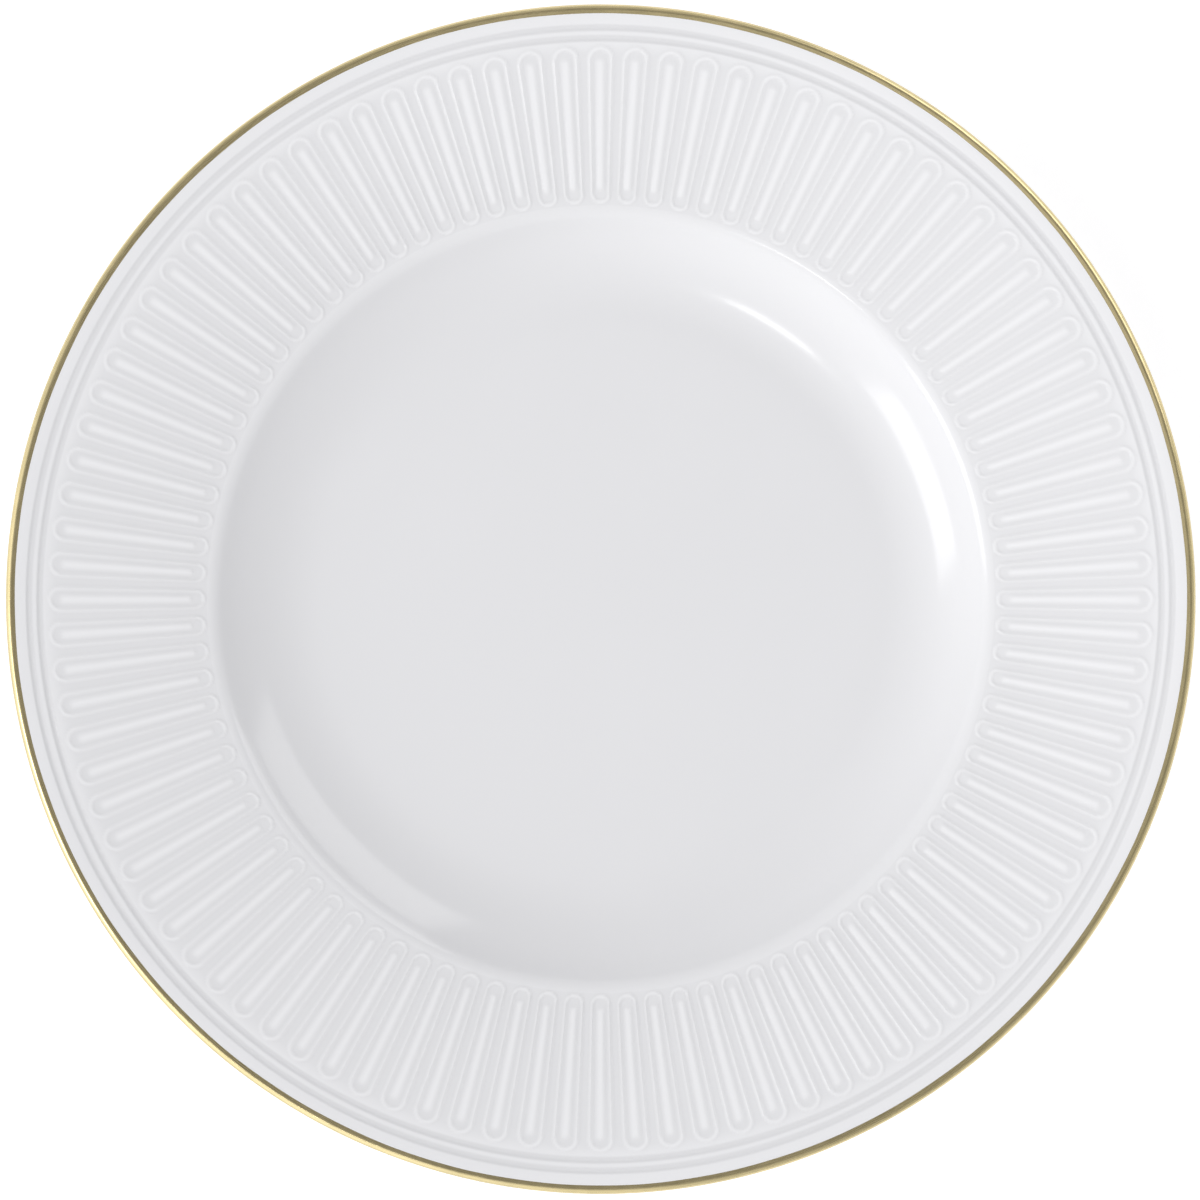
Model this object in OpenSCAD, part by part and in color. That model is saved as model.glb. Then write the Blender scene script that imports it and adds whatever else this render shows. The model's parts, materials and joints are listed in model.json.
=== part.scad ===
// China dinner plate: a round plate with a plain well, a broad rim moulded with cabled flutes
// and a gold line round the lip. It stands on its foot ring on z = 0, with its axis on Z.

/* [Plate] */
// Diameter over the lip, with its coats
plate_d = 270; // [225:1:325]
// Height of the top of the lip above the table
plate_h = 24; // [20:0.5:29]

/* [Well] */
// Diameter at which the wall of the well meets the rim
well_d = 176; // [147:1:190]
// Depth of the well below the inner edge of the rim
well_depth = 9.5; // [8:0.1:11.5]
// Slope of the wall of the well
wall_angle = 40; // [33:1:48]
// Radius of the cove between the floor and the wall
cove_r = 32; // [10:0.5:40]
// Radius of the shoulder between the wall and the rim
shoulder_r = 6; // [3:0.5:8]

/* [Body] */
// Thickness of the floor of the well
floor_t = 4.2; // [3.5:0.1:5.2]
// Thickness of the wall of the well
wall_t = 4; // [3.3:0.1:5]
// Thickness of the rim at its inner edge
rim_t = 3.6; // [3:0.1:4.5]
// Thickness of the rim at the lip
lip_t = 2.6; // [2.5:0.1:3.2]
// Radius on the two edges of the lip
lip_r = 1.1; // [0.6:0.05:1.15]

/* [Foot ring] */
// How far the foot ring stands in from the edge of the well
foot_inset = 8; // [7:0.1:10.5]
// Width of the bearing edge of the foot ring
foot_w = 3.6; // [3:0.1:5]
// Height of the foot ring under the floor
foot_h = 2.8; // [2.3:0.1:3.4]
// Draft of the two sides of the foot ring
foot_draft = 8; // [4:1:12]
// Radius on the two edges of the foot ring
foot_edge_r = 0.6; // [0.3:0.05:0.8]
// Height of the bare strip wiped clean of glaze round the foot ring
bare_h = 0.8; // [0.5:0.1:1.2]

/* [Flutes] */
// Number of flutes round the rim
flute_count = 96; // [72:4:112]
// Gap between the edge of the well and the flutes
flute_well_gap = 1.8; // [1.6:0.1:4]
// Gap between the flutes and the inner groove
flute_groove_gap = 0.7; // [0.4:0.1:2]
// Width of a flute over its bead, as a share of the flute pitch
flute_share = 0.8; // [0.7:0.01:0.84]
// Width of the hollow inside the bead, as a share of the flute pitch
hollow_share = 0.54; // [0.5:0.01:0.56]
// Width of the rib inside the hollow, as a share of the flute pitch
rib_share = 0.28; // [0.2:0.01:0.32]
// Gap between each end of the rib and the bead
rib_end_gap = 1.7; // [1:0.1:3]
// Height of the bead above the rim
bead_h = 0.35; // [0.3:0.05:0.7]
// Height of the floor of the hollow above the rim
hollow_h = 0.1; // [0.05:0.05:0.25]
// Height of the rib above the rim
rib_h = 0.5; // [0.4:0.05:1]

/* [Lip bands] */
// Width of the gold line on the face of the rim
gold_w = 2.1; // [1.2:0.1:4]
// Width of the gold line on the back of the rim
gold_back_w = 1.3; // [0.8:0.1:2]
// Width of the plain band between the gold line and the outer groove
plain_w = 2.5; // [1:0.1:5]
// Width of each of the two grooves
groove_w = 1.4; // [1.2:0.05:1.6]
// Depth of each groove
groove_depth = 0.4; // [0.3:0.05:0.45]
// Distance between the centre lines of the two grooves
groove_pitch = 2.4; // [2:0.1:4]

/* [Coats] */
// Thickness of the glaze
glaze_t = 0.2; // [0.15:0.01:0.25]
// Thickness of the gold
gold_t = 0.06; // [0.04:0.01:0.1]

/* [Hidden] */

$fn = 48;
// How far a chord may stand off the arc that it follows, and how much of a side one fillet may take
arc_tolerance = 0.02;
fillet_share = 0.9;
// Sides that each round end of a flute is drawn with, and of the polygon that cuts a groove
END_SIDES = 3;
GROOVE_SIDES = 8;
// How deep the relief is rooted in the body, and how far cutters run past it
root = 1;
past = 5;

plate_r = plate_d / 2;
well_r = well_d / 2;
foot_r = well_r - foot_inset;
foot_mid_r = foot_r - foot_w / 2;

// The body's own lip lies under the two coats
coats = glaze_t + gold_t;
body_r = plate_r - coats;
body_h = plate_h - coats;
floor_z = foot_h + floor_t;
shoulder_z = floor_z + well_depth;
lip_mid_z = body_h - lip_t / 2;

// The face of the rim is a cone from the edge of the well that just touches the rounding of the lip
to_lip = [body_r - lip_r - well_r, body_h - lip_r - shoulder_z];
rim_angle = atan2(to_lip.y, to_lip.x) + asin(lip_r / norm(to_lip));
rim_apex_z = shoulder_z - well_r * tan(rim_angle);
lip_corner_z = rim_apex_z + body_r * tan(rim_angle);

// The flutes and the grooves are set out from the two edges of the rim
outer_groove = plate_r - gold_w - plain_w - groove_w / 2;
inner_groove = outer_groove - groove_pitch;
flute_from = well_r + flute_well_gap;
flute_to = inner_groove - groove_w / 2 - flute_groove_gap;
// The arc of a groove, from its width and depth
groove_r = (pow(groove_w / 2, 2) + pow(groove_depth, 2)) / (2 * groove_depth);

// On the unrolled cone of the rim, a distance from the axis and a turn about it
function along_rim(r) = r / cos(rim_angle);
pitch_angle = 360 / flute_count * cos(rim_angle);

// Half angles of the bead's outside, the hollow and the rib, and the centres of their round ends
flute_half = flute_share * pitch_angle / 2;
hollow_half = hollow_share * pitch_angle / 2;
rib_half = rib_share * pitch_angle / 2;
bead_in = along_rim(flute_from) / (1 - sin(flute_half));
bead_out = along_rim(flute_to) / (1 + sin(flute_half));
rib_in = (bead_in * (1 - sin(hollow_half)) + rib_end_gap) / (1 - sin(rib_half));
rib_out = (bead_out * (1 + sin(hollow_half)) - rib_end_gap) / (1 + sin(rib_half));

function unit(v) = v / norm(v);
function along(angle) = [cos(angle), sin(angle)];
function next(i, list) = (i + 1) % len(list);
function last(i, list) = (i + len(list) - 1) % len(list);

// Where the line through p at one angle meets the line through q at another
function meet(p, p_angle, q, q_angle) =
    let (u = along(p_angle), v = along(q_angle))
    p + u * cross(q - p, v) / cross(u, v);

// The corners of the body's section, anticlockwise from the axis under the floor: radius, height, fillet
back_from = [well_r + wall_t * sin(wall_angle), shoulder_z - wall_t * cos(wall_angle)];
rim_back = [well_r, shoulder_z - rim_t];
lip_back = [body_r, body_h - lip_t];
rim_back_angle = atan2(lip_back.y - rim_back.y, lip_back.x - rim_back.x);
foot_inner_top = [foot_r - foot_w - foot_h * tan(foot_draft), foot_h];
foot_outer_top = meet([foot_r, 0], 90 - foot_draft, back_from, wall_angle);
under_shoulder = meet(back_from, wall_angle, rim_back, rim_back_angle);
wall_foot = meet([0, floor_z], 0, [well_r, shoulder_z], wall_angle);

function corner(p, fillet = 0) = [p.x, p.y, fillet];
SECTION = [
    corner([0, foot_h]),
    corner(foot_inner_top, foot_edge_r),
    corner([foot_r - foot_w, 0], foot_edge_r),
    corner([foot_r, 0], foot_edge_r),
    corner(foot_outer_top, foot_edge_r),
    corner(under_shoulder, shoulder_r),
    corner(lip_back, lip_r),
    corner([body_r, lip_corner_z], lip_r),
    corner([well_r, shoulder_z], shoulder_r),
    corner(wall_foot, cove_r),
    corner([0, floor_z])
];

function flat(p) = [p.x, p.y];
function edge_from(i) = flat(SECTION[next(i, SECTION)]) - flat(SECTION[i]);
function out_of(v) = [unit(v).y, -unit(v).x];
// The side along the axis stays on it; the others move out by the growth
function moved(i, grow) = i == len(SECTION) - 1 ? 0 : grow;
function shifted(i, grow) = flat(SECTION[i]) * out_of(edge_from(i)) + moved(i, grow);

// A corner of the section once it has grown: where its two moved sides meet
function grown_corner(i, grow) =
    let (a = out_of(edge_from(last(i, SECTION))), b = out_of(edge_from(i)))
    let (a_far = shifted(last(i, SECTION), grow), b_far = shifted(i, grow))
    [a_far * b.y - b_far * a.y, a.x * b_far - b.x * a_far] / cross(a, b);

// The points of an arc of radius r that rounds corner q between its neighbours p and s
function rounded(p, q, s, r) =
    let (u = unit(q - p), turn = atan2(cross(u, s - q), u * (s - q)))
    let (room = fillet_share * min(norm(q - p), norm(s - q)))
    let (fitted = min(r, room / tan(abs(turn) / 2)))
    let (side = sign(turn), steps = ceil(abs(turn) / (2 * acos(1 - arc_tolerance / fitted))))
    let (centre = q - u * fitted * tan(abs(turn) / 2) + side * fitted * [-u.y, u.x])
    [for (i = [0:steps]) centre + fitted * side * out_at(u, turn * i / steps)];
function out_at(u, turned) = [u.y * cos(turned) + u.x * sin(turned), u.y * sin(turned) - u.x * cos(turned)];

// The body's section, with every surface but the axis moved out by the growth
module section(grow = 0) {
    corners = [for (i = [0:len(SECTION) - 1]) grown_corner(i, grow)];
    points = [
        for (i = [0:len(SECTION) - 1])
            let (p = corners[last(i, SECTION)], q = corners[i], s = corners[next(i, SECTION)])
            let (fillet = SECTION[i].z, bulge = sign(cross(q - p, s - q)))
            each fillet == 0 ? [q] : rounded(p, q, s, fillet + bulge * grow)
    ];
    difference() {
        polygon(points);
        for (r = [inner_groove, outer_groove])
            translate([r, rim_apex_z + r * tan(rim_angle)])
                rotate(rim_angle)
                    translate([0, groove_r - groove_depth])
                        rotate(180 / GROOVE_SIDES)
                            circle(groove_r - grow, $fn = GROOVE_SIDES);
    }
}

// A long outline with round ends, between two radial lines, grown all round
module petal(half_angle, from, to, grow) {
    function round_end(r, start, turn) =
        [for (i = [0:END_SIDES]) [r, 0] + (r * sin(half_angle) + grow) * along(start + turn * i / END_SIDES)];
    polygon(concat(
        round_end(to, -90 - half_angle, 180 + 2 * half_angle),
        round_end(from, 90 + half_angle, 180 - 2 * half_angle)
    ));
}

// One cabled flute: a rib that lies in a hollow with a bead round it
module flute(grow) {
    translate([0, 0, rim_apex_z])
        rotate([0, -rim_angle, 0]) {
            difference() {
                translate([0, 0, -root])
                    linear_extrude(root + bead_h + grow)
                        petal(flute_half, bead_in, bead_out, grow);
                translate([0, 0, hollow_h + grow])
                    linear_extrude(past)
                        petal(hollow_half, bead_in, bead_out, -grow);
            }
            linear_extrude(rib_h + grow)
                petal(rib_half, rib_in, rib_out, grow);
        }
}

module flutes(grow = 0) {
    for (i = [0:flute_count - 1])
        rotate(i * 360 / flute_count)
            flute(grow);
}

// The moulded shape, as fired, or grown by a coat
module plate(grow = 0) {
    rotate_extrude()
        section(grow);
    flutes(grow);
}

// The space inside the foot ring, and the strip of the foot ring that is wiped clean
module recess_space() {
    translate([0, 0, bare_h])
        cylinder(h = foot_h + floor_t / 2 - bare_h, r = foot_mid_r);
}

module bare_strip() {
    translate([0, 0, -past])
        cylinder(h = past + bare_h, r = foot_r + past);
}

module porcelain_body() {
    color("ivory")
        plate();
}

module glaze_coat() {
    color("white")
        difference() {
            plate(glaze_t);
            plate();
            recess_space();
            bare_strip();
        }
}

module glaze_foot_recess() {
    color("white")
        rotate_extrude()
            intersection() {
                difference() {
                    section(glaze_t);
                    section();
                }
                translate([0, bare_h])
                    square([foot_mid_r, foot_h + floor_t / 2 - bare_h]);
            }
}

module gold_edge_line() {
    color("gold")
        rotate_extrude()
            intersection() {
                difference() {
                    section(glaze_t + gold_t);
                    section(glaze_t);
                }
                union() {
                    translate([plate_r - gold_w, lip_mid_z])
                        square([gold_w + past, past]);
                    translate([plate_r - gold_back_w, lip_mid_z - past])
                        square([gold_back_w + past, past]);
                }
            }
}

porcelain_body();
glaze_coat();
glaze_foot_recess();
gold_edge_line();
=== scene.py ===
"""A china dinner plate with a rim of cabled flutes and a gold line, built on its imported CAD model."""

import json
import math

import bpy
import numpy as np
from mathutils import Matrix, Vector

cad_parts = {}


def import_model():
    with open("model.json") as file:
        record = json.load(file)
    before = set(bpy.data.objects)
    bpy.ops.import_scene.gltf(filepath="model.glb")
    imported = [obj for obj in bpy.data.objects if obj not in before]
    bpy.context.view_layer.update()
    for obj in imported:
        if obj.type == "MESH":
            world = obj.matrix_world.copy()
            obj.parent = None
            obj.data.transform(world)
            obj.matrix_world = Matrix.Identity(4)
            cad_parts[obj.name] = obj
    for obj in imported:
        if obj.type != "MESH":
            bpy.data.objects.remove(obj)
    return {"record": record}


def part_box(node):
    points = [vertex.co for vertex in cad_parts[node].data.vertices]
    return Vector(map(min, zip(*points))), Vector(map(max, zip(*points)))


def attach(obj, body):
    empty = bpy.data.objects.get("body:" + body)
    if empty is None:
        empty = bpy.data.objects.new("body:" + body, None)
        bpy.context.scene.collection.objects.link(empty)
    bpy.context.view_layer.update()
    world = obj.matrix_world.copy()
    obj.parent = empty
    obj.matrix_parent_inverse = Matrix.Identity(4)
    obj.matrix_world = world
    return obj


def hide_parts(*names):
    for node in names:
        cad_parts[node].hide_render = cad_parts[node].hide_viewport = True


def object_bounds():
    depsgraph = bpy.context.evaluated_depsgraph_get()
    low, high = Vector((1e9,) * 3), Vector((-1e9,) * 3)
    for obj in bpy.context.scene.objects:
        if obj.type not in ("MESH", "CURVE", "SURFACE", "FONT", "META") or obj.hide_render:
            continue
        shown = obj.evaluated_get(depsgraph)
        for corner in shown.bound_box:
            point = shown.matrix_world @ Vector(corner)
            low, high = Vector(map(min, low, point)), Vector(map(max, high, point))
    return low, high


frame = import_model()
cad_low, cad_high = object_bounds()
MM = 0.001

# ---------------------------------------------------------------- sizes, in millimetres

MOUNTS = {mount["name"]: mount for mount in frame["record"]["mounts"]}
PLATE_R = cad_high.x / MM
FOOT_MID_R = MOUNTS["foot"]["pos_m"][0] / MM
FLOOR_Z = MOUNTS["well_floor"]["pos_m"][2] / MM

GLAZE_T = 0.2
GOLD_T = (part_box("gold_edge_line")[1].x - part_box("glaze_coat")[1].x) / MM
COATS = GLAZE_T + GOLD_T
BODY_R = PLATE_R - COATS
BODY_H = cad_high.z / MM - COATS
# How far the body stays inside its glaze, and how far the gold reaches into the glaze
BODY_SINK = 0.01
GOLD_SINK = 0.02

WELL_R = 88
WELL_DEPTH = 9.5
WALL_ANGLE = math.radians(40)
WALL_T = 4
RIM_T = 3.6
LIP_T = 2.6
LIP_R = 1.1
COVE_R = 32
SHOULDER_R = 6
BODY_FLOOR_Z = FLOOR_Z - GLAZE_T
SHOULDER_Z = BODY_FLOOR_Z + WELL_DEPTH

FOOT_W = 3.6
FOOT_H = 2.8
FOOT_DRAFT = math.radians(8)
FOOT_EDGE_R = 0.6
FOOT_R = FOOT_MID_R + FOOT_W / 2
BARE_H = 0.8

GOLD_W = 2.1
GOLD_BACK_W = 1.3
# How much the back of the rim rises per millimetre outwards, where the gold ends
GOLD_BACK_SLOPE = 0.18
# The waver of the gold's inner edge: how high, how often round the plate, and where it starts
GOLD_WAVER = ((0.035, 7, 0.6), (0.025, 17, 2), (0.02, 41, 0))

GROOVE_RADII = (127.3, 129.7)
GROOVE_HALF_W = 0.95
GROOVE_DEPTH = 0.42

FLUTES = 96
FLUTE_FROM, FLUTE_TO = 89.9, 125.9
FLUTE_END = 4.2
RIB_FROM, RIB_TO = 92.7, 123.3
BEAD_H, RIB_H = 0.35, 0.5
# Where the bead and the rib lie across a flute, in flute pitches from its middle
BEAD_AT, BEAD_HALF_W, RIB_HALF_W = 0.315, 0.098, 0.2

# The porcelain's tone, 0 to 1: 0 where the glaze pools grey in the hollows, with painted shade there too, up
# to 1 on a sharp crest, which is painted lighter
LIP_TONE = 0.45
GROOVE_TONE, GROOVE_EDGE_TONE = 0.12, 0.6
FLUTE_TONE, BEAD_TONE = 0.08, 0.95
SHOULDER_TONE = 0.3
# The power that broadens a crest's painted lighter tone, and the width over which the flutes' ends are
# painted paler
CREST_POWER = 0.7
LAND_FADE_W = 2

# ---------------------------------------------------------------- the section of the plate


def along(angle):
    return np.array([math.cos(angle), math.sin(angle)])


def cross(a, b):
    return a[0] * b[1] - a[1] * b[0]


def meet(p, p_angle, q, q_angle):
    """Where the line through p at one angle meets the line through q at another."""
    p, u, v = np.array(p, float), along(p_angle), along(q_angle)
    return p + u * cross(np.array(q, float) - p, v) / cross(u, v)


to_lip = np.array([BODY_R - LIP_R - WELL_R, BODY_H - LIP_R - SHOULDER_Z])
RIM_ANGLE = math.atan2(to_lip[1], to_lip[0]) + math.asin(LIP_R / np.linalg.norm(to_lip))


def rim_z(r):
    """Height of the bare rim at radius r."""
    return SHOULDER_Z + (r - WELL_R) * math.tan(RIM_ANGLE)


def body_corners():
    """The corners of the body's section with their fillets, anticlockwise from the axis under the floor."""
    back = (WELL_R + WALL_T * math.sin(WALL_ANGLE), SHOULDER_Z - WALL_T * math.cos(WALL_ANGLE))
    rim_back, lip_back = (WELL_R, SHOULDER_Z - RIM_T), (BODY_R, BODY_H - LIP_T)
    back_angle = math.atan2(lip_back[1] - rim_back[1], lip_back[0] - rim_back[0])
    foot_root = meet((FOOT_R, 0), math.pi / 2 - FOOT_DRAFT, back, WALL_ANGLE)
    return {
        "recess_middle": ((0, FOOT_H), 0),
        "recess": ((FOOT_R - FOOT_W - FOOT_H * math.tan(FOOT_DRAFT), FOOT_H), FOOT_EDGE_R),
        "foot_inside": ((FOOT_R - FOOT_W, 0), FOOT_EDGE_R),
        "foot_outside": ((FOOT_R, 0), FOOT_EDGE_R),
        "foot_root": (foot_root, FOOT_EDGE_R),
        "wall_back": (meet(back, WALL_ANGLE, rim_back, back_angle), SHOULDER_R),
        "lip_back": (lip_back, LIP_R),
        "lip_face": ((BODY_R, rim_z(BODY_R)), LIP_R),
        "shoulder": ((WELL_R, SHOULDER_Z), SHOULDER_R),
        "cove": (meet((0, BODY_FLOOR_Z), 0, (WELL_R, SHOULDER_Z), WALL_ANGLE), COVE_R),
        "floor_middle": ((0, BODY_FLOOR_Z), 0),
    }


def moved_corners(corners, grow):
    """Where the corners go as all sides but the last, on the axis, move out by grow."""
    outs, fars = [], []
    for i, corner in enumerate(corners):
        side = corners[(i + 1) % len(corners)] - corner
        out = np.array([side[1], -side[0]]) / np.linalg.norm(side)
        outs.append(out)
        fars.append(corner @ out + (0 if i == len(corners) - 1 else grow))
    moved = []
    for i, (b, b_far) in enumerate(zip(outs, fars)):
        a, a_far = outs[i - 1], fars[i - 1]
        moved.append(np.array([a_far * b[1] - b_far * a[1], a[0] * b_far - b[0] * a_far]) / cross(a, b))
    return moved


def fillet_arc(p, q, s, fillet, grow, chord):
    """Points round the corner q between p and s. An arc strays from its chords by up to chord."""
    u = (q - p) / np.linalg.norm(q - p)
    turn = math.atan2(cross(u, s - q), u @ (s - q))
    side = math.copysign(1, turn)
    r = fillet + side * grow
    steps = max(3, math.ceil(abs(turn) / (2 * math.acos(1 - chord / r))))
    centre = q - u * r * math.tan(abs(turn) / 2) + side * r * np.array([-u[1], u[0]])
    arc = []
    for k in range(steps + 1):
        a = turn * k / steps
        spoke = [u[1] * math.cos(a) + u[0] * math.sin(a), u[1] * math.sin(a) - u[0] * math.cos(a)]
        arc.append(centre + side * r * np.array(spoke))
    return arc


def section(grow, chord=0.004):
    """The body's section with all but its axis moved out by grow: the points at each named corner."""
    named = body_corners()
    moved = moved_corners([np.array(point, float) for point, _ in named.values()], grow)
    stretches = {}
    for i, (name, (_, fillet)) in enumerate(named.items()):
        p, q, s = moved[i - 1], moved[i], moved[(i + 1) % len(moved)]
        stretches[name] = fillet_arc(p, q, s, fillet, grow, chord) if fillet else [q]
    return stretches


def run(stretches, first, last):
    """All the section's points from one named corner to another."""
    names = list(stretches)
    chosen = names[names.index(first) : names.index(last) + 1]
    return [point for name in chosen for point in stretches[name]]


def wiped_edge(high, low):
    """The point between two others on the foot ring below which the glaze was wiped away."""
    share = (BARE_H - low[1]) / (high[1] - low[1])
    return low + share * (high - low)


def face_point(r, lift):
    """The point over radius r of the rim's cone that stands off the bare face by lift."""
    return np.array([r - lift * math.sin(RIM_ANGLE), rim_z(r) + lift * math.cos(RIM_ANGLE)])


def groove_rows(grow, steps):
    """Points across the face of the rim through the two grooves, from the lip inwards, and their tone:
    painted shade in the grooves, paler at their edges.
    """
    rows = []
    for middle in reversed(GROOVE_RADII):
        for k in range(steps + 1):
            t = 1 - 2 * k / steps
            dip = GROOVE_DEPTH * (0.5 + 0.5 * math.cos(math.pi * t))
            # Painted shade at the groove's bottom, a paler tone toward its edges
            thin = GROOVE_TONE + (GROOVE_EDGE_TONE - GROOVE_TONE) * t**2
            rows.append((*face_point(middle + t * GROOVE_HALF_W, grow - dip), thin))
    return rows


# ---------------------------------------------------------------- the flutes

PITCH = 2 * math.pi / FLUTES
# The rim's cone laid flat: radii grow by 1 / LEAN and angles shrink by LEAN
LEAN = math.cos(RIM_ANGLE)


def rounded_bump(t):
    """0 at the edge of a bump, where t is 0, and 1 on its crest, where t is 1, with soft flanks."""
    return 0.5 - 0.5 * np.cos(math.pi * np.clip(t, 0, 1))


def outside(x, y, half_angle, first, last):
    """How far a point is outside a long outline between two radial lines.

    The outline has round ends, whose centres are first and last.
    """
    sine, cosine = math.sin(half_angle), math.cos(half_angle)
    side = y * cosine - x * sine
    far = np.hypot(x - last, y) - last * sine
    near = np.hypot(x - first, y) - first * sine
    beyond = (x - last) * cosine + y * sine > 0
    before = (x - first) * cosine + y * sine < 0
    return np.where(beyond, far, np.where(before, near, side))


def end_centres(half_angle, start, stop):
    """Centres of the round ends of an outline that reaches from start to stop."""
    return start / LEAN / (1 - math.sin(half_angle)), stop / LEAN / (1 + math.sin(half_angle))


def relief(r, angle):
    """How far the moulding rises to the crest of a rib, and to that of the bead, each 0 to 1."""
    turn = ((angle / PITCH + 0.5) % 1 - 0.5) * PITCH * LEAN
    x, y = r / LEAN * np.cos(turn), r / LEAN * np.abs(np.sin(turn))
    pitch = PITCH * LEAN
    first, last = end_centres((BEAD_AT + BEAD_HALF_W) * pitch, FLUTE_FROM, FLUTE_TO)
    off_bead = np.abs(outside(x, y, BEAD_AT * pitch, first, last))
    bead = rounded_bump(1 - off_bead / (BEAD_HALF_W * pitch * x))
    first, last = end_centres(RIB_HALF_W * pitch, RIB_FROM, RIB_TO)
    in_rib = -outside(x, y, RIB_HALF_W * pitch, first, last)
    rib = rounded_bump(in_rib / (RIB_HALF_W * pitch * np.clip(x, first, last)))
    return rib, bead


def flute_angles(shares):
    """Angles all round the plate, at the given shares of the pitch to both sides of each rib."""
    one = sorted({-s for s in shares if s < 0.5} | set(shares))
    return np.array([(i + s) * PITCH for i in range(FLUTES) for s in one])


# Angles across the moulding, and for smooth stretches, of what is seen and of what it covers
FINE = flute_angles([0, 0.09, 0.155, 0.198, 0.25, 0.315, 0.375, 0.42, 0.5])
PLAIN = FINE[::4]
COARSE = flute_angles([0, 0.11, 0.195, 0.315, 0.5])
SPARE = COARSE[::4]


def relief_radii(end_step, middle_steps):
    """Radii through the flutes, from the lip inwards: close together at their round ends."""
    depths = np.arange(0, FLUTE_END, end_step)
    outer, inner = FLUTE_TO - depths, (FLUTE_FROM + depths)[::-1]
    middle = np.linspace(outer[-1], inner[0], middle_steps + 1)[1:-1]
    return [*outer, *middle, *inner]


# ---------------------------------------------------------------- meshes


# A point this close to the axis is on it
AXIS_R = 1e-6


class Shell:
    """Rings of points round the plate's axis, joined one to the next. Their counts may differ.

    Each point also keeps its tone, from pooled glaze with painted shade in hollows to a painted lighter tone
    on crests, and whether it is on the rim's moulded face.
    """

    def __init__(self):
        self.points, self.faces, self.rings, self.thin, self.moulded = [], [], [], [], []

    def ring(self, r, z, angles, thin=0.0, moulded=False):
        self.rings.append((self.count(), len(angles)))
        self.moulded.append(np.full(len(angles), moulded))
        self.thin.append(np.broadcast_to(thin, angles.shape))
        r, z = np.broadcast_to(r, angles.shape), np.broadcast_to(z, angles.shape)
        self.points.append(np.stack([r * np.cos(angles), r * np.sin(angles), z], 1))

    def pole(self, z):
        """One point on the axis."""
        self.ring(0.0, z, np.zeros(1))

    def line(self, points, angles, thin=0.0):
        """Rings through the points of a section, down to the axis where they reach it."""
        for (r, z), value in zip(points, np.broadcast_to(thin, len(points))):
            if r < AXIS_R:
                self.pole(z)
            else:
                self.ring(r, z, angles, value)

    def disc(self, r, z, angles):
        """Rings that fill a flat disc of radius r, down to its middle."""
        for share in (0.75, 0.5, 0.25):
            self.ring(r * share, z, angles)
        self.pole(z)

    def count(self):
        return sum(map(len, self.points))

    def join(self, closed=False):
        pairs = list(zip(self.rings, self.rings[1:]))
        if closed:
            pairs.append((self.rings[-1], self.rings[0]))
        for a, b in pairs:
            self.band(a, b)

    def band(self, a, b):
        """Faces between ring a and ring b, whose counts divide each other."""
        fewest = min(count for _, count in (a, b) if count > 1)

        def stretch(ring, i):
            start, count = ring
            step = count // fewest
            return [start + (i * step + k) % count for k in range(step + 1)] if count > 1 else [start]

        self.faces += [stretch(a, i) + stretch(b, i)[::-1] for i in range(fewest)]

    def calm_normals(self, mesh):
        """The normals that the surface would have without its moulding."""
        normals = np.zeros(len(mesh.vertices) * 3)
        mesh.vertex_normals.foreach_get("vector", normals)
        normals = normals.reshape(-1, 3)
        places, moulded = np.concatenate(self.points), np.concatenate(self.moulded)
        across = places[moulded, :2] / np.hypot(*places[moulded, :2].T)[:, None]
        up = np.full((len(across), 1), math.cos(RIM_ANGLE))
        normals[moulded] = np.hstack([-across * math.sin(RIM_ANGLE), up])
        return normals

    def build(self, name):
        mesh = bpy.data.meshes.new(name)
        mesh.from_pydata((np.concatenate(self.points) * MM).tolist(), [], self.faces)
        mesh.shade_smooth()
        # The tone at each point, painted shade in the hollows and painted light on crests and edges, for the
        # glaze material
        thin = mesh.attributes.new("thin", "FLOAT", "POINT")
        thin.data.foreach_set("value", np.concatenate(self.thin))
        calm = mesh.attributes.new("calm", "FLOAT_VECTOR", "POINT")
        calm.data.foreach_set("vector", self.calm_normals(mesh).ravel())
        mesh.set_sharp_from_angle(angle=math.radians(50))
        piece = bpy.data.objects.new(name, mesh)
        bpy.context.scene.collection.objects.link(piece)
        return piece


def closed_pair(shell, inner):
    """One closed shell of an outer surface and the inner one that starts beside it."""
    shell.join()
    inner.join()
    offset = shell.count()
    shell.points += inner.points
    shell.thin += inner.thin
    shell.moulded += inner.moulded
    shell.faces += [[offset + v for v in reversed(f)] for f in inner.faces]
    start, count = inner.rings[0]
    shell.band((offset + start, count), shell.rings[0])
    return shell


def face_of_plate(shell, grow, angles, plain, radii, groove_steps):
    """The face from the lip's rounding to the middle of the well, with its moulding."""
    stretches = section(grow)
    glazed = grow > 0
    shell.line(stretches["lip_face"], plain, LIP_TONE)
    for r, z, thin in groove_rows(grow, groove_steps):
        shell.ring(r, z, plain, thin, glazed)
    for r in radii:
        rib, bead = relief(r, angles)
        across, up = face_point(r, grow + RIB_H * rib + BEAD_H * bead)
        # The flutes' hollows carry pooled glaze and painted shade; their crests, and their ends near the
        # plain land, are painted lighter
        land = LIP_TONE * np.clip((r - FLUTE_TO + LAND_FADE_W) / LAND_FADE_W, 0, 1)
        lit_crest = np.maximum(rib**CREST_POWER, BEAD_TONE * bead**CREST_POWER)
        shell.ring(across, up, angles, FLUTE_TONE + np.maximum(land, lit_crest), glazed)
    shoulder = stretches["shoulder"]
    # The well's shoulder is painted lighter, fading out down the cove
    shell.line(shoulder, plain, SHOULDER_TONE * np.linspace(1, 0, len(shoulder)))
    shell.line(stretches["cove"], plain)
    shell.disc(*stretches["cove"][-1], plain)


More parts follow.
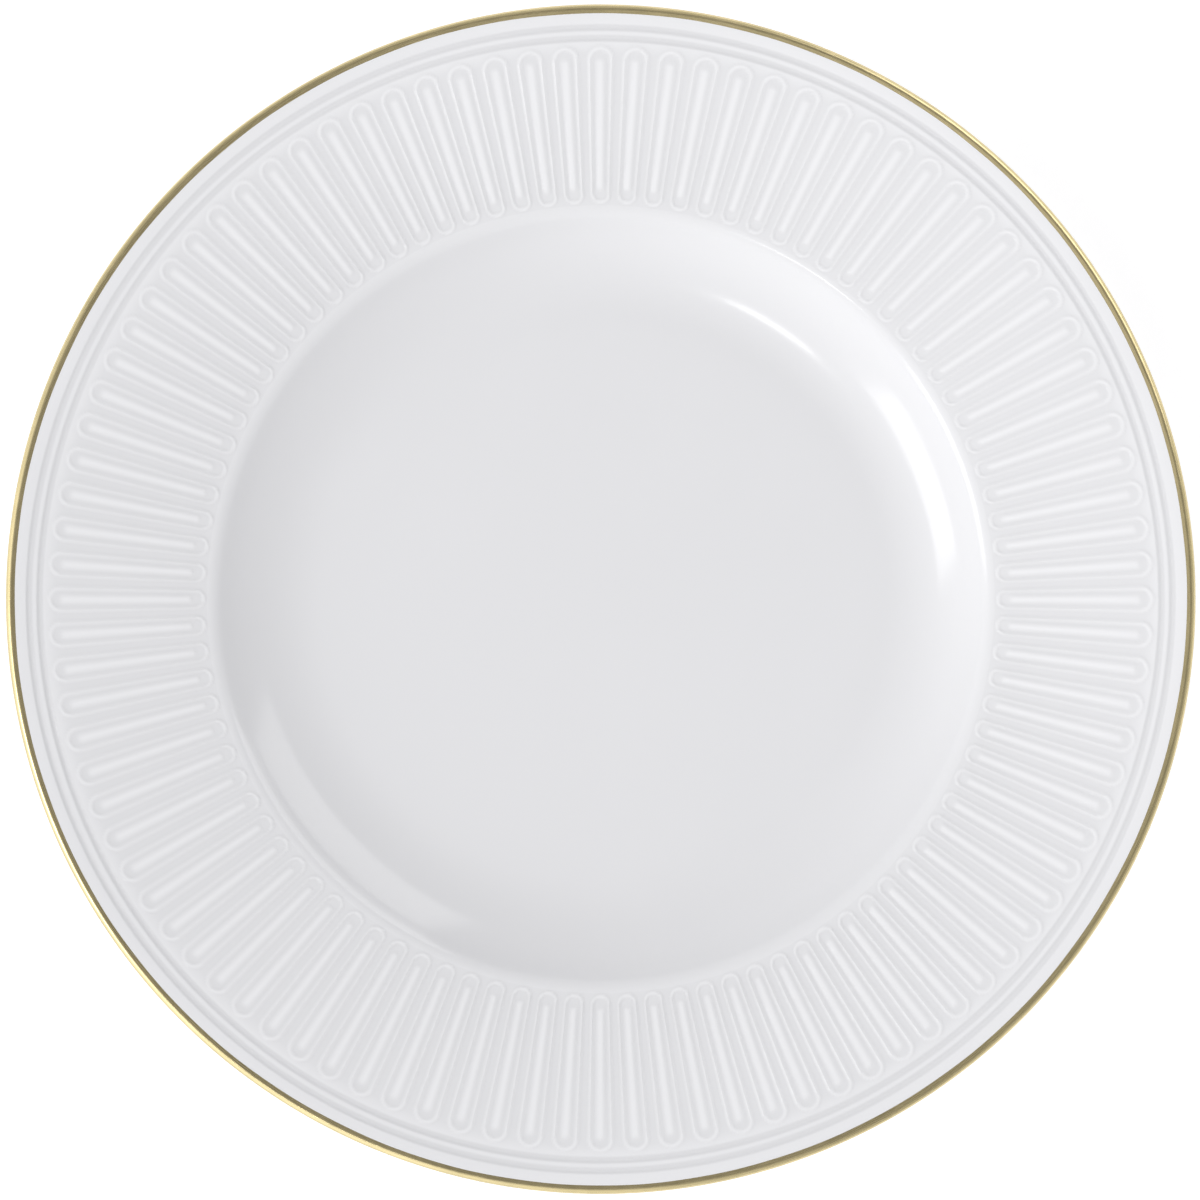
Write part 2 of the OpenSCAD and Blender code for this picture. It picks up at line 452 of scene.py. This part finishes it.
def body():
    """The fired body, whose bearing edge shows under the glaze."""
    shell = Shell()
    shell.line(run(section(-BODY_SINK), "recess_middle", "lip_back"), PLAIN)
    radii = relief_radii(end_step=0.7, middle_steps=4)
    face_of_plate(shell, -BODY_SINK, COARSE, SPARE, radii, groove_steps=4)
    shell.join()
    return shell.build("body")


def glaze():
    """The coat over face, lip and back, closed by the surface that lies on the body."""
    seen, hidden = Shell(), Shell()
    for shell, stretches, plain in ((seen, section(GLAZE_T), PLAIN), (hidden, section(0, chord=0.02), SPARE)):
        shell.line([wiped_edge(stretches["foot_root"][0], stretches["foot_outside"][-1])], plain)
        shell.line(run(stretches, "foot_root", "lip_back"), plain)
    radii = relief_radii(end_step=0.45, middle_steps=5)
    face_of_plate(seen, GLAZE_T, FINE, PLAIN, radii, groove_steps=8)
    radii = relief_radii(end_step=1.0, middle_steps=3)
    face_of_plate(hidden, 0, COARSE, SPARE, radii, groove_steps=4)
    return closed_pair(seen, hidden).build("glaze")


def foot_glaze():
    """The coat inside the foot ring."""
    seen, hidden = Shell(), Shell()
    for shell, stretches in ((seen, section(GLAZE_T)), (hidden, section(0))):
        recess = stretches["recess"]
        shell.line([wiped_edge(recess[-1], stretches["foot_inside"][0])], PLAIN)
        shell.line(recess[::-1], PLAIN)
        shell.disc(*recess[0], PLAIN)
    pair = closed_pair(seen, hidden)
    pair.faces = [face[::-1] for face in pair.faces]
    return pair.build("foot_glaze")


def gold():
    """The gold line round the lip, as a thin shell on the glaze with a hand-run inner edge."""
    angles = np.linspace(0, 2 * math.pi, FLUTES * 12, endpoint=False)
    waver = sum(height * np.sin(times * angles + start) for height, times, start in GOLD_WAVER)
    edge_r = PLATE_R - GOLD_W + waver
    back_r = PLATE_R - GOLD_BACK_W
    shell = Shell()
    for grow, hidden in ((COATS, False), (GLAZE_T - GOLD_SINK, True)):
        lip = run(section(grow), "lip_back", "lip_face")
        back_z = lip[0][1] - (lip[0][0] - back_r) * GOLD_BACK_SLOPE
        rows = [(back_r, back_z), *[point for point in lip if point[0] > back_r]]
        last_r, last_z = rows[-1]
        for share in (0.66, 0.33, 0):
            r = edge_r + (last_r - edge_r) * share
            rows.append((r, last_z - (last_r - r) * math.tan(RIM_ANGLE)))
        for r, z in reversed(rows) if hidden else rows:
            shell.ring(r, z, angles)
    shell.join(closed=True)
    return shell.build("gold_line")


# ---------------------------------------------------------------- materials


class Nodes:
    """A material's node tree, with a short way to add a node and to set or link its inputs.

    An input is given by its name, with _ for each space, or by its place as i0, i1 and so on.
    """

    def __init__(self, name):
        self.material = bpy.data.materials.new(name)
        self.material.use_nodes = True
        self.tree = self.material.node_tree
        self.shader = self.tree.nodes["Principled BSDF"]
        self.place = self.add("ShaderNodeTexCoord").outputs["Object"]

    def add(self, kind, **inputs):
        node = self.tree.nodes.new(kind)
        for name, value in inputs.items():
            self.put(node, name.replace("_", " "), value)
        return node

    def put(self, node, name, value):
        by_place = name[0] == "i" and name[1:].isdigit()
        socket = node.inputs[int(name[1:]) if by_place else name]
        if isinstance(value, bpy.types.NodeSocket):
            self.tree.links.new(value, socket)
        else:
            socket.default_value = value

    def noise(self, scale, detail=2.0, vector=None):
        node = self.add("ShaderNodeTexNoise", Scale=scale, Detail=detail, Vector=vector or self.place)
        return node.outputs["Fac"]

    def span(self, value, low, high, start=0.3, stop=0.7):
        node = self.add("ShaderNodeMapRange", Value=value)
        for name, number in (("From Min", start), ("From Max", stop), ("To Min", low), ("To Max", high)):
            node.inputs[name].default_value = number
        return node.outputs["Result"]

    def blend(self, value, first, second, start=0.35, stop=0.65):
        node = self.add("ShaderNodeValToRGB", Fac=value)
        low, high = node.color_ramp.elements
        low.position, high.position = start, stop
        low.color, high.color = (*first, 1), (*second, 1)
        return node.outputs["Color"]

    def math(self, operation, a, b=0.0):
        node = self.add("ShaderNodeMath", i0=a, i1=b)
        node.operation = operation
        return node.outputs[0]

    def bump(self, height, distance, normal=None):
        node = self.add("ShaderNodeBump", Height=height, Distance=distance, Strength=1.0)
        if normal is not None:
            self.put(node, "Normal", normal)
        return node.outputs["Normal"]

    def finish(self, **inputs):
        for name, value in inputs.items():
            self.put(self.shader, name.replace("_", " "), value)
        return self.material


def calmed_normal(n, share):
    """The surface's normal, turned by a share toward the one that it would have without its moulding."""
    calm = n.add("ShaderNodeAttribute")
    calm.attribute_name = "calm"
    turned = n.add("ShaderNodeVectorTransform", Vector=calm.outputs["Vector"])
    turned.vector_type, turned.convert_from, turned.convert_to = "NORMAL", "OBJECT", "WORLD"
    spread = n.add("ShaderNodeMix", Factor=share)
    spread.data_type = "VECTOR"
    n.put(spread, "i4", n.add("ShaderNodeNewGeometry").outputs["Normal"])
    n.put(spread, "i5", turned.outputs[0])
    return spread.outputs[1]


def glaze_material():
    """White porcelain under a clear gloss glaze, which pools grey in the hollows, where shade is also painted
    in, and is painted lighter on crests.

    Light that goes into the porcelain comes out spread, so its tone follows the moulding less than its gloss.
    """
    n = Nodes("glazed_porcelain")
    # Grey where the glaze pools and shade is painted in the hollows, lighter where light is painted on the
    # crests
    pooled_and_shaded, lit_crest = (0.757, 0.757, 0.771), (0.852, 0.852, 0.866)
    thin = n.add("ShaderNodeAttribute")
    thin.attribute_name = "thin"
    patchy = n.math("ADD", thin.outputs["Fac"], n.span(n.noise(25, 4), -0.06, 0.06))
    ripple = n.noise(140, 1)
    pores = n.noise(1600, 2)
    return n.finish(
        Base_Color=n.blend(patchy, pooled_and_shaded, lit_crest, 0.0, 1.0),
        Roughness=n.span(n.noise(60, 3), 0.12, 0.18),
        Normal=n.bump(ripple, 0.00001, calmed_normal(n, 0.85)),
        IOR=1.45,
        Coat_Weight=0.25,
        Coat_Roughness=0.08,
        Coat_IOR=1.5,
        Coat_Normal=n.bump(pores, 0.0000012, n.bump(ripple, 0.00001)),
    )


def biscuit_material():
    """The bare bearing edge: dry, off-white, faintly soiled and grainy."""
    n = Nodes("biscuit_porcelain")
    soiled, clean = (0.71, 0.69, 0.65), (0.80, 0.78, 0.74)
    return n.finish(
        Base_Color=n.blend(n.noise(220, 6), soiled, clean),
        Roughness=n.span(n.noise(500, 3), 0.6, 0.85),
        Normal=n.bump(n.noise(3500, 3), 0.00003),
    )


def gold_material():
    """Burnished gold, run on with a brush round the lip: fine streaks along it and a worn, uneven tone."""
    n = Nodes("burnished_gold")
    deep, worn = (0.58, 0.49, 0.27), (0.66, 0.555, 0.31)
    x, y, z = n.add("ShaderNodeSeparateXYZ", Vector=n.place).outputs
    round_lip = n.math("MULTIPLY", n.math("ARCTAN2", y, x), 0.008)
    out_squared = n.math("ADD", n.math("MULTIPLY", x, x), n.math("MULTIPLY", y, y))
    brushed = n.add("ShaderNodeCombineXYZ", X=round_lip, Y=n.math("SQRT", out_squared), Z=z)
    streaks = n.noise(5200, 3, brushed.outputs[0])
    return n.finish(
        Base_Color=n.blend(n.noise(90, 4), deep, worn),
        Metallic=1.0,
        Roughness=n.span(streaks, 0.2, 0.32),
        Normal=n.bump(streaks, 0.000012),
    )


def floor_material():
    """A plain white sweep with a faint tooth and some light of its own, so that shadows stay faint."""
    n = Nodes("studio_sweep")
    return n.finish(
        Base_Color=n.blend(n.noise(3, 2), (0.93, 0.93, 0.93), (0.95, 0.95, 0.95)),
        Roughness=0.9,
        Normal=n.bump(n.noise(900, 2), 0.00002),
        Emission_Color=(1, 1, 1, 1),
        Emission_Strength=0.33,
    )


def dress(piece, material, slot, *nodes):
    """Gives a piece its material and its body, and hides the CAD nodes that it stands for."""
    piece.data.materials.append(material)
    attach(piece, "root")
    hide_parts(*nodes)


# ---------------------------------------------------------------- studio


def floor():
    """The sweep that the plate stands on."""
    half = 6.0
    mesh = bpy.data.meshes.new("studio_floor")
    corners = [(-half, -half, 0), (half, -half, 0), (half, half, 0), (-half, half, 0)]
    mesh.from_pydata(corners, [], [(0, 1, 2, 3)])
    sweep = bpy.data.objects.new("studio_floor", mesh)
    bpy.context.scene.collection.objects.link(sweep)
    sweep.data.materials.append(floor_material())


def toward(azimuth, elevation):
    """The direction at an azimuth, anticlockwise from +X, and an elevation, both in degrees."""
    a, e = math.radians(azimuth), math.radians(elevation)
    return Vector((math.cos(a) * math.cos(e), math.sin(a) * math.cos(e), math.sin(e)))


def softbox(name, azimuth, elevation, distance, size, radiance):
    """A soft light that looks at the plate."""
    light = bpy.data.lights.new(name, "AREA")
    light.shape, light.size, light.size_y = "RECTANGLE", *size
    light.energy = radiance * math.pi * size[0] * size[1]
    lamp = bpy.data.objects.new(name, light)
    lamp.location = toward(azimuth, elevation) * distance
    lamp.rotation_mode = "QUATERNION"
    lamp.rotation_quaternion = (-lamp.location).to_track_quat("-Z", "Y")
    lamp.visible_camera = False
    bpy.context.scene.collection.objects.link(lamp)


def lights():
    """A key light at the left with a brighter middle, a strip in front of it and a window at the right."""
    softbox("key_left", azimuth=201, elevation=41, distance=1.5, size=(0.64, 0.52), radiance=2.8)
    softbox("key_core", azimuth=201, elevation=42, distance=1.48, size=(0.4, 0.26), radiance=3.4)
    softbox("strip_front", azimuth=238, elevation=62, distance=1.4, size=(0.2, 0.1), radiance=8)
    softbox("window_right", azimuth=42, elevation=31, distance=1.6, size=(1.15, 0.82), radiance=1.8)


def world():
    """A grey studio: dim straight overhead, paler toward the walls, with a wide glow from the left."""
    sky = bpy.data.worlds.new("studio")
    bpy.context.scene.world = sky
    sky.use_nodes = True
    tree = sky.node_tree
    place = tree.nodes.new("ShaderNodeTexCoord").outputs["Generated"]
    overhead, wall = (0.36, 0.36, 0.365), (0.74, 0.74, 0.75)
    walls = sky_ramp(tree, place, (0, 0, 1), 0.95, 0.45, overhead, wall)
    glow = sky_ramp(tree, place, toward(217, 22), 0.35, 1.0, (0, 0, 0), (1.16, 1.16, 1.16))
    both = tree.nodes.new("ShaderNodeVectorMath")
    tree.links.new(walls, both.inputs[0])
    tree.links.new(glow, both.inputs[1])
    background = tree.nodes["Background"]
    tree.links.new(both.outputs[0], background.inputs["Color"])
    background.inputs["Strength"].default_value = 0.985


def sky_ramp(tree, place, direction, start, stop, first, second):
    """A colour that changes smoothly with how nearly a ray of the sky runs along a direction."""
    along_it = tree.nodes.new("ShaderNodeVectorMath")
    along_it.operation = "DOT_PRODUCT"
    tree.links.new(place, along_it.inputs[0])
    along_it.inputs[1].default_value = direction
    ramp = tree.nodes.new("ShaderNodeMapRange")
    ramp.data_type = "FLOAT_VECTOR"
    ramp.interpolation_type = "SMOOTHSTEP"
    spread = tree.nodes.new("ShaderNodeCombineXYZ")
    for socket in spread.inputs:
        tree.links.new(along_it.outputs["Value"], socket)
    tree.links.new(spread.outputs[0], ramp.inputs["Vector"])
    sockets = {socket.identifier: socket for socket in ramp.inputs}
    sockets["From_Min_FLOAT3"].default_value = (start,) * 3
    sockets["From_Max_FLOAT3"].default_value = (stop,) * 3
    sockets["To_Min_FLOAT3"].default_value = first
    sockets["To_Max_FLOAT3"].default_value = second
    return {socket.identifier: socket for socket in ramp.outputs}["Vector"]


def camera():
    """Almost straight above the plate's middle, through a long lens, with a narrow margin round the lip."""
    margin = 1.0076
    cam = bpy.data.cameras.new("camera")
    cam.lens, cam.sensor_width = 200.0, 36.0
    distance = PLATE_R * MM * margin * cam.lens / (cam.sensor_width / 2)
    eye = bpy.data.objects.new("camera", cam)
    eye.location = (-0.16 * MM, -0.18 * MM, cad_high.z + distance)
    cam.clip_start, cam.clip_end = 0.1, 100
    bpy.context.scene.collection.objects.link(eye)
    bpy.context.scene.camera = eye


def main():
    camera()
    floor()
    world()
    lights()
    coat = glaze_material()
    dress(body(), biscuit_material(), "porcelain", "porcelain_body")
    dress(glaze(), coat, "glaze", "glaze_coat")
    dress(foot_glaze(), coat, "glaze", "glaze_foot_recess")
    dress(gold(), gold_material(), "gold", "gold_edge_line")
    bpy.context.scene.view_settings.view_transform = "Standard"


main()
